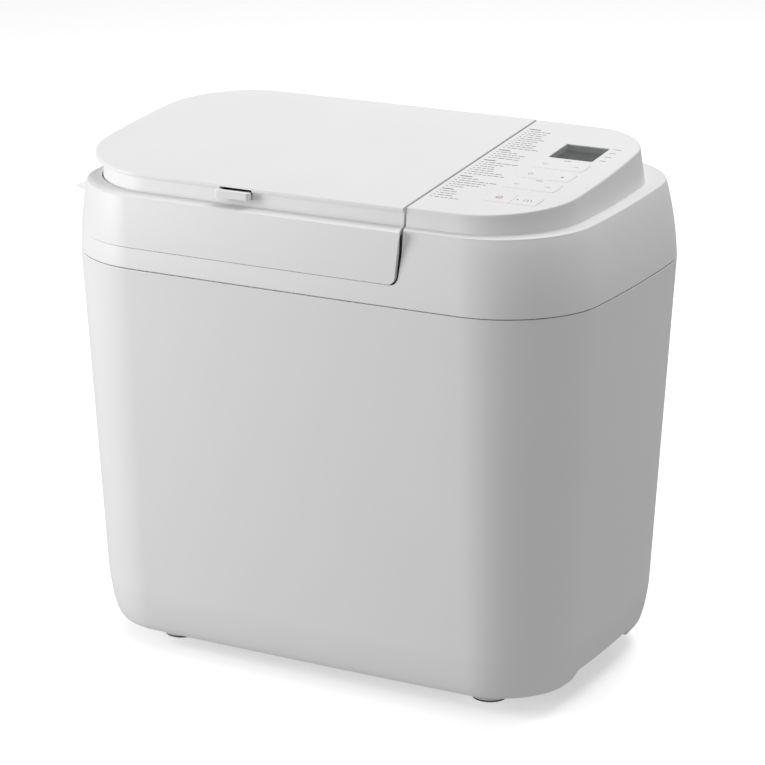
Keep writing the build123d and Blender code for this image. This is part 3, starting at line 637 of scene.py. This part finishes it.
lid_outside = carve(lid_form(0.0, WELL_Z, SKIRT_Z - 2), lid_block(0.0, SKIRT_Z, 420, SKIRT_CORNER), "INTERSECT")
lid_outside = carve(lid_outside, block(-260, 260, -260, LID_BACK, 300, 400), "INTERSECT")
lid_hollow = carve(lid_form(LID_WALL, WELL_Z - WALL, SKIRT_Z - 6), lid_block(-LID_WALL, 300, 420), "INTERSECT")
lid_hollow = carve(lid_hollow, block(-260, 260, -260, LID_BACK - LID_WALL, 290, 400), "INTERSECT")
soften(lid_outside, lambda a, b: on_side(a, 0.0) and on_side(b, 0.0), 0.8)
lid_form_cut = carve(lid_outside, lid_hollow)
open_end = carve(lid_form(3.6, WELL_Z - WALL, SKIRT_Z - 6), block(70, 90, -200, -109, 300, 420), "INTERSECT")
lid_form_cut = carve(lid_form_cut, open_end)
rooms = [hopper_room(nut_low, nut_high), hopper_room(yeast_low, yeast_high)]
visor_low, visor_high = box_mm("steam_visor")
visor_y = (visor_low.y + visor_high.y) / 2
steam_slots = [block(-208, -190, visor_y + 9 * k - 2.2, visor_y + 9 * k + 2.2, 322, 332) for k in range(-2, 3)]
lid_form_cut = carve(lid_form_cut, gathered(rooms + steam_slots))
lid_parts = [lid_form_cut]
axis_y, axis_z = MAIN_AXIS
for x in HINGE_XS:
    arm = carve(block(x - 10, x + 10, LID_BACK - 2, axis_y, axis_z - 4.4, axis_z + 4.4),
                rod_x(x - 10, x + 10, axis_y, axis_z, 4.4), "UNION")
    lid_parts.append(carve(arm, rod_x(x - 12, x + 12, axis_y, axis_z, 2.03)))
axis_y, axis_z = COVER_AXIS
for x in COVER_HINGE_XS:
    ear = carve(block(x - 4, x + 4, axis_y - 3, axis_y + 1.6, WELL_Z - 1, axis_z),
                rod_x(x - 4, x + 4, axis_y, axis_z, 2.8), "UNION")
    lid_parts.append(carve(ear, rod_x(x - 6, x + 6, axis_y, axis_z, 1.48)))
piece(gathered(lid_parts), "lid_shell", "main_lid", "case_white", "main_lid")

# %% [markdown]
# ## The dispenser lid
# The small lid is a low wall that fills the island's outline and a thin plate on top that overhangs
# it at the left end. The plate's edge is rolled over by about a millimetre, which gives the fine
# bright line along its rim. A slot in the front wall lets the latch tab through.
# %% Dispenser lid
PLATE_TOP = level((-203.8, 300.0, -106.4, 103.6), (66, 60, 60, 58), TOP_Z, TOP_SLOPE)
wall_foot = level(ISLAND_FOOT["sides"], ISLAND_FOOT["radii"], 344.0)
wall_head = level((-194.6, 180.0, -104.6, 102.2), ISLAND_TOP["radii"], TOP_Z - PLATE, TOP_SLOPE)
plate_rim = [grown(PLATE_TOP, -0.8, -PLATE), grown(PLATE_TOP, -0.2, 0.25 - PLATE), grown(PLATE_TOP, 0, 0.9 - PLATE)]
cover_out = stack([wall_foot, wall_head] + plate_rim + rolled_edge(PLATE_TOP, 1.2, 4))
cover_hollow = stack([grown(wall_foot, -LID_WALL, -4), grown(wall_head, -LID_WALL, 0)])
cover_out = carve(cover_out, block(-260, LID_RIGHT, -260, 260, 340, 420), "INTERSECT")
cover_hollow = carve(cover_hollow, block(-260, LID_RIGHT - LID_WALL, -260, 260, 330, 420), "INTERSECT")
cover = carve(cover_out, cover_hollow)
tab_low, tab_high = box_mm("latch_tab")
tab_slot = block(tab_low.x + 0.6, tab_high.x - 0.6, -112, -100, 350.4, 357.6)
heel_room = block(-260, 90, 100, 130, 330, 352.6)
knuckle_rooms = [block(x - 4.5, x + 4.5, axis_y - 4, axis_y + 4, 340, axis_z + 3.6) for x in COVER_HINGE_XS]
for room in [tab_slot, heel_room] + knuckle_rooms:
    cover = carve(cover, room)
cover_parts = [cover]
for x in COVER_HINGE_XS:
    for side in (-8, 8):
        left, right = x + side - 3.5, x + side + 3.5
        strap = block(left, right, axis_y - 2.4, axis_y - 0.2, axis_z, axis_z + 16)
        knuckle = carve(rod_x(left, right, axis_y - 0.4, axis_z, 2.2), strap, "UNION")
        cover_parts.append(carve(knuckle, rod_x(left - 0.5, right + 0.5, axis_y, axis_z, 1.5)))
piece(gathered(cover_parts), "dispenser_cover", "dispenser_lid", "case_white", "dispenser_lid")

# %% [markdown]
# ## The latch tab and the steam ear
# Both are small mouldings that a hand or steam meets, so their edges are soft. The tab is a block
# with its lower front corners cut back, on a tongue that goes through the wall. The ear is a thin
# wedge over the steam slots. Each starts from a block, and a bevel rounds its edges.
# %% Latch tab and steam ear
tongue = block(tab_low.x + 1.2, tab_high.x - 1.2, tab_low.y + 2, tab_high.y, 351.2, 352.8)
tab = block(tab_low.x, tab_high.x, tab_low.y, tab_low.y + 4.9, 351.2, tab_high.z)
uprights = [edge for edge in tab.edges if all(v.co.y < tab_low.y + 0.1 for v in edge.verts)
            and abs(edge.verts[0].co.x - edge.verts[1].co.x) < 0.1]
bmesh.ops.bevel(tab, geom=uprights, offset=2.0, offset_type="OFFSET", segments=3, profile=0.5, affect="EDGES",
                material=-1)
bmesh.ops.bevel(tab, geom=[edge for edge in tab.edges if edge.calc_length() > 3], offset=0.35,
                offset_type="OFFSET", segments=2, profile=0.5, affect="EDGES", material=-1)
piece(gathered([tab, tongue]), "latch_button", "latch", "case_white", "latch_tab")

ear = block(visor_low.x, visor_high.x, visor_low.y, visor_high.y,
            visor_low.z, visor_high.z)
tip_z = 336.0
for point in ear.verts:
    if point.co.x < visor_low.x + 0.1:
        point.co.z = tip_z + (0.6 if point.co.z > tip_z else -0.6)
        point.co.y = visor_y + (point.co.y - visor_y) * 0.9
soft = [e for e in ear.edges if all(v.co.x < -198 for v in e.verts) or e.calc_length() > 30]
bmesh.ops.bevel(ear, geom=soft, offset=0.4, offset_type="OFFSET", segments=3, profile=0.5, affect="EDGES",
                material=-1)
ear = carve(ear, stack([grown(a, 0.05) for a in housing_levels(LID_LEDGE)]))
piece(ear, "steam_ear", "main_lid", "case_white", "steam_visor")

# %% [markdown]
# ## The keys
# The long keys tip either way and the two short ones go straight in. Each is a low block on the
# sloping panel, with rounded corners and a rolled top edge, standing a third of a millimetre proud.
# The gap round it is just wide enough for it to tip. Where two keys meet, their corners are tighter.
# %% Keys
def key_levels(width, depth, top, radii):
    flat = level((-width / 2, width / 2, -depth / 2, depth / 2), radii, top)
    return [grown(flat, 0, -2.4)] + rolled_edge(flat, 0.28, 3)


def key_form(x, y, width, depth, radii):
    shape = new_shape()
    loops = [round_loop(shape, a["sides"], a["radii"], a["z"], place=on_top(x, y), steps=6, cuts=1)
             for a in key_levels(width, depth, KEY_RAISE, radii)]
    for lower, upper in zip(loops, loops[1:]):
        bmesh.ops.bridge_loops(shape, edges=lower + upper)
    return close_ends(shape, loops[0], loops[-1])


key_places = {name: (PANEL_X, row, KEY_SIZE[0]) for name, row in
              zip(("program_key", "timer_key", "crust_key"), KEY_ROWS)}
key_places["stop_key"] = (PANEL_X - KEY_SIZE[0] / 4 - 0.05, LAST_ROW, KEY_SIZE[0] / 2 - 0.15)
key_places["start_key"] = (PANEL_X + KEY_SIZE[0] / 4 + 0.05, LAST_ROW, KEY_SIZE[0] / 2 - 0.15)
key_corners = {"stop_key": (3.0, 0.8, 0.8, 3.0), "start_key": (0.8, 3.0, 3.0, 0.8)}
for name, (x, y, width) in key_places.items():
    corners = key_corners.get(name, (3.0,) * 4)
    piece(key_form(x, y, width, KEY_SIZE[1], corners), name + "_cap", name, "key_white", name)

# %% [markdown]
# ## The display
# Behind the clear window is a shallow box with the grey-green display glass at the bottom. The box's walls are white
# plastic, but here they are painted mid grey as painted shade of the deep recess. The window itself is a thin clear
# sheet just below the panel. The digits are the generic seven-bar kind, made from thin bars.
# %% Display
finishes["clear_window"] = finish("clear_window", (0.93, 0.95, 0.95), 0.04, depth=0.000001, gloss_spread=0.01,
                                  **{"Transmission Weight": 1.0, "IOR": 1.2})
# The tray walls get a mid grey in place of white: painted shade for the inside of the display recess.
finishes["display_wall_painted_shade"] = finish("display_wall_painted_shade", (0.55, 0.56, 0.565), 0.5, tone=0.03)
finishes["liquid_crystal"] = finish("liquid_crystal", (0.03, 0.052, 0.05), 0.3, tone=0.06, broad=40.0,
                                    depth=0.000004)
finishes["segment_dark"] = finish("segment_dark", (0.008, 0.012, 0.012), 0.3, tone=0.02)
finishes["print_grey"] = finish("print_grey", (0.13, 0.13, 0.135), 0.5, tone=0.06)
finishes["print_light"] = finish("print_light", (0.2, 0.2, 0.205), 0.5, tone=0.06)
finishes["print_red"] = finish("print_red", (0.62, 0.05, 0.06), 0.45, tone=0.05)


def panel_plate(x, y, width, depth, low, high, radius):
    """A thin plate parallel to the panel, between two distances from its surface."""
    shape = new_shape()
    sides = (-width / 2, width / 2, -depth / 2, depth / 2)
    loops = [round_loop(shape, sides, [radius] * 4, z, place=on_top(x, y), steps=4, cuts=1) for z in (low, high)]
    for lower, upper in zip(loops, loops[1:]):
        bmesh.ops.bridge_loops(shape, edges=lower + upper)
    return close_ends(shape, *loops)


window = panel_plate(PANEL_X, DISPLAY_Y, DISPLAY_SIZE[0] - 0.3, DISPLAY_SIZE[1] - 0.3, -0.75, -0.4, 1.0)
display_window = piece(window, "display_glass", "base", "display_lens", "display_window")
display_window.data.materials[0] = finishes["clear_window"]

GLASS_DEPTH = -4.5
tray_out = panel_plate(PANEL_X, DISPLAY_Y, DISPLAY_SIZE[0] + 2, DISPLAY_SIZE[1] + 2, -6.5, -0.9, 1.2)
tray_in = panel_plate(PANEL_X, DISPLAY_Y, DISPLAY_SIZE[0] - 0.6, DISPLAY_SIZE[1] - 0.6, GLASS_DEPTH - 1, 1.0, 0.8)
display_tray = piece(carve(tray_out, tray_in), "display_tray", "base", "display_dark", "display_module")
# The tray's walls carry the painted-shade grey, not their own white.
display_tray.data.materials[0] = finishes["display_wall_painted_shade"]
glass = panel_plate(PANEL_X, DISPLAY_Y - 0.6, DISPLAY_SIZE[0] - 0.8, DISPLAY_SIZE[1] - 2.4, GLASS_DEPTH - 0.9,
                    GLASS_DEPTH, 0.6)
display_face = piece(glass, "display_face", "base", "display_dark")
display_face.data.materials[0] = finishes["liquid_crystal"]

# %% [markdown]
# ## Bars and marks
# All prints on the panel are thin bars: a bar has a place on the panel, a length, a width and a turn.
# Digits, arrows and the grey lines of the programme list are all made with this one helper.
# %% Bars
def bar(x, y, length, width, turn=0.0, low=0.01, high=0.05):
    """A thin bar on the panel's surface."""
    shape = new_shape()
    place = on_top(x, y) @ Matrix.Rotation(turn, 4, "Z") @ Matrix.Translation((0, 0, (low + high) / 2))
    bmesh.ops.create_cube(shape, size=1, matrix=place @ Matrix.Diagonal((length, width, high - low, 1)))
    return shape


def ring_mark(x, y, radius, thickness, low=0.01, high=0.05):
    shape = new_shape()
    place = on_top(x, y)
    loops = []
    for r, z in ((radius, low), (radius, high), (radius - thickness, high), (radius - thickness, low)):
        made = bmesh.ops.create_circle(shape, segments=24, radius=r,
                                       matrix=place @ Matrix.Translation((0, 0, z)))
        loops.append(list({edge for point in made["verts"] for edge in point.link_edges}))
    for lower, upper in zip(loops, loops[1:] + loops[:1]):
        bmesh.ops.bridge_loops(shape, edges=lower + upper)
    bmesh.ops.recalc_face_normals(shape, faces=shape.faces)
    return shape


def dot_mark(x, y, radius, low=0.01, high=0.05):
    shape = new_shape()
    bmesh.ops.create_cone(shape, cap_ends=True, segments=20, radius1=radius, radius2=radius, depth=high - low,
                          matrix=on_top(x, y) @ Matrix.Translation((0, 0, (low + high) / 2)))
    return shape


def marks(shapes, name, body, slot, finish_name):
    made = piece(gathered(shapes), name, body, slot, weld=0.0005)
    made.data.materials[0] = finishes[finish_name]
    return made


SEGMENTS = {"top": (0, 3.2, 0), "middle": (0, 0, 0), "bottom": (0, -3.2, 0), "upper_left": (-1.7, 1.6, 1),
            "upper_right": (1.7, 1.6, 1), "lower_left": (-1.7, -1.6, 1), "lower_right": (1.7, -1.6, 1)}
DIGITS = {"4": ("upper_left", "upper_right", "middle", "lower_right"),
          "0": tuple(segment for segment in SEGMENTS if segment != "middle")}
ON_GLASS = (GLASS_DEPTH + 0.01, GLASS_DEPTH + 0.05)
segments = []
for digit, x in (("4", -8.0), ("0", -0.5), ("0", 5.5)):
    for segment in DIGITS[digit]:
        dx, dy, upright = SEGMENTS[segment]
        turn = upright * math.pi / 2
        segments.append(bar(PANEL_X + x + dx, DISPLAY_Y - 2 + dy, 2.6, 0.6, turn, *ON_GLASS))
for dy in (-1.2, 1.2):
    segments.append(dot_mark(PANEL_X - 4.3, DISPLAY_Y - 2 + dy, 0.4, *ON_GLASS))
for k in range(5):
    segments.append(bar(PANEL_X - 10 + 5 * k, DISPLAY_Y - 10.5, 3.0, 0.7, 0, *ON_GLASS))
marks(segments, "display_segments", "base", "display_dark", "segment_dark")

# %% [markdown]
# ## The prints
# The programme list beside the gap is shown as short grey strokes in five groups, with a heavier
# stroke as each group's heading, so that it reads as print without saying anything. The strokes come
# from a seeded generator and are the same every time.
# %% Prints
LIST_TOP = 80.0
LIST_PITCH = 4.4
GROUPS = (11, 5, 8, 6, 5)
GROUP_GAP = 1.4
strokes = random.Random(7)
headings, lines = [], []
y = LIST_TOP
for count in GROUPS:
    headings.append(bar(87.5, y, 9.0, 1.3))
    for _ in range(count - 1):
        y -= LIST_PITCH
        lines.append(bar(83.8, y, 1.8, 0.9))
        x = 86.2
        end = strokes.uniform(95, 112)
        while x < end:
            length = strokes.uniform(2.0, 5.5)
            lines.append(bar(x + length / 2, y, length, 0.9))
            x += length + 0.9
    y -= LIST_PITCH * GROUP_GAP
for k, y in enumerate((57.0, 48.5, 40.0, 31.0)):
    lines.append(bar(162.5, y, 5.5 - 0.6 * (k % 2), 0.8))
lines.append(bar(PANEL_X, 22.6, 5.0, 0.8))
lines.append(bar(PANEL_X, -23.0, 5.0, 0.8))
marks(headings, "panel_headings", "base", "case_white", "print_grey")
marks(lines, "panel_list", "base", "case_white", "print_light")

ON_KEY = (KEY_RAISE + 0.01, KEY_RAISE + 0.05)


def chevron(x, y, way):
    return [bar(x + side * 0.85, y, 2.4, 0.45, -way * side * 0.6, *ON_KEY) for side in (-1, 1)]


for name, row in (("program_key", KEY_ROWS[0]), ("crust_key", KEY_ROWS[2])):
    marks(chevron(127.5, row, -1) + chevron(151.5, row, 1), name + "_marks", name, "key_white", "print_grey")
timer_marks = [ring_mark(127.5, KEY_ROWS[1], 1.7, 0.4, *ON_KEY),
               dot_mark(151.5, KEY_ROWS[1], 1.0, *ON_KEY)]
marks(timer_marks, "timer_key_marks", "timer_key", "key_white", "print_grey")
stop_marks = [ring_mark(129.0, LAST_ROW, 2.6, 0.6, *ON_KEY),
              bar(129.0, LAST_ROW, 2.6, 0.7, 0.6, *ON_KEY)]
marks(stop_marks, "stop_key_marks", "stop_key", "key_white", "print_red")
marks([dot_mark(142.6, LAST_ROW, 0.75, *ON_KEY)], "start_key_lamp", "start_key", "key_white",
      "print_red")
start_marks = [bar(148.0, LAST_ROW, 3.4, 0.45, 1.2, *ON_KEY),
               bar(150.4, LAST_ROW, 3.4, 0.45, 1.57, *ON_KEY),
               bar(152.8, LAST_ROW, 3.4, 0.45, 1.9, *ON_KEY)]
marks(start_marks, "start_key_marks", "start_key", "key_white", "print_grey")

# %% [markdown]
# ## The feet
# Each foot is a short cone with a rounded lower edge over a rubber pad. A profile of three points is
# spun round the foot's own axis, with the doubles merged where the turn closes.
# %% Feet
for name in ("foot_front_left", "foot_front_right", "foot_rear_left", "foot_rear_right"):
    low, high = box_mm(name)
    x, y = (low.x + high.x) / 2, (low.y + high.y) / 2
    radius = (high.x - low.x) / 2
    shape = new_shape()
    profile = ((0, 1.6), (13.2, 1.6), (14.2, 2.2), (14.6, 3.4), (radius - 0.1, 14.4), (0, 14.4))
    points = [shape.verts.new((x + r, y, z)) for r, z in profile]
    edges = [shape.edges.new(pair) for pair in zip(points, points[1:])]
    bmesh.ops.spin(shape, geom=points + edges, cent=(x, y, 0), axis=(0, 0, 1), dvec=(0, 0, 0),
                   angle=math.tau, steps=40, use_merge=True, use_duplicate=False)
    piece(shape, name + "_cone", "base", "foot_white", name)

# %% [markdown]
# ## Floor and light
# The light is a soft studio: an even white surround and two large soft boxes. One stands low to the
# left, so the front runs from light to grey and the right side stays mid grey. The other hangs above
# and a little behind, so it brightens the flat tops and the ledge and leaves the leaning walls alone.
# The floor catches the shadow but doesn't throw light back up, so that the lower walls stay calm.
# %% Floor and light
floor_shape = bmesh.new()
bmesh.ops.create_grid(floor_shape, x_segments=1, y_segments=1, size=14)
floor = as_object(floor_shape, "floor")
floor_shape.free()
floor.data.materials.append(finish("floor_pale", (0.95, 0.95, 0.95), 0.8, tone=0.005, broad=2.0,
                                   **{"Emission Color": (1, 1, 1, 1), "Emission Strength": 0.45}))
floor.visible_diffuse = False
floor.visible_glossy = False

world = bpy.data.worlds.new("studio")
bpy.context.scene.world = world
world.use_nodes = True
air = world.node_tree
surround = air.nodes["Background"]
surround.inputs["Color"].default_value = (1, 1, 1, 1)
surround.inputs["Strength"].default_value = 0.405
seen = air.nodes.new("ShaderNodeBackground")
seen.inputs["Color"].default_value = (1, 1, 1, 1)
seen.inputs["Strength"].default_value = 1.0
ray = air.nodes.new("ShaderNodeLightPath")
choose = air.nodes.new("ShaderNodeMixShader")
air.links.new(ray.outputs["Is Camera Ray"], choose.inputs["Fac"])
air.links.new(surround.outputs["Background"], choose.inputs[1])
air.links.new(seen.outputs["Background"], choose.inputs[2])
air.links.new(choose.outputs["Shader"], air.nodes["World Output"].inputs["Surface"])


def soft_box(name, place, power, size):
    lamp = bpy.data.objects.new(name, bpy.data.lights.new(name, "AREA"))
    lamp.data.shape = "DISK"
    lamp.data.size = size
    lamp.data.energy = power
    lamp.location = place
    lamp.rotation_mode = "QUATERNION"
    lamp.rotation_quaternion = (Vector(place) - Vector((0, 0, 0.2))).to_track_quat("Z", "Y")
    bpy.context.scene.collection.objects.link(lamp)
    return lamp


soft_box("key", (-1.22, -0.94, 0.62), 15.2, 0.9)
soft_box("top", (0.22, 0.99, 2.16), 28.5, 1.6)
bpy.context.scene.view_settings.view_transform = "Standard"
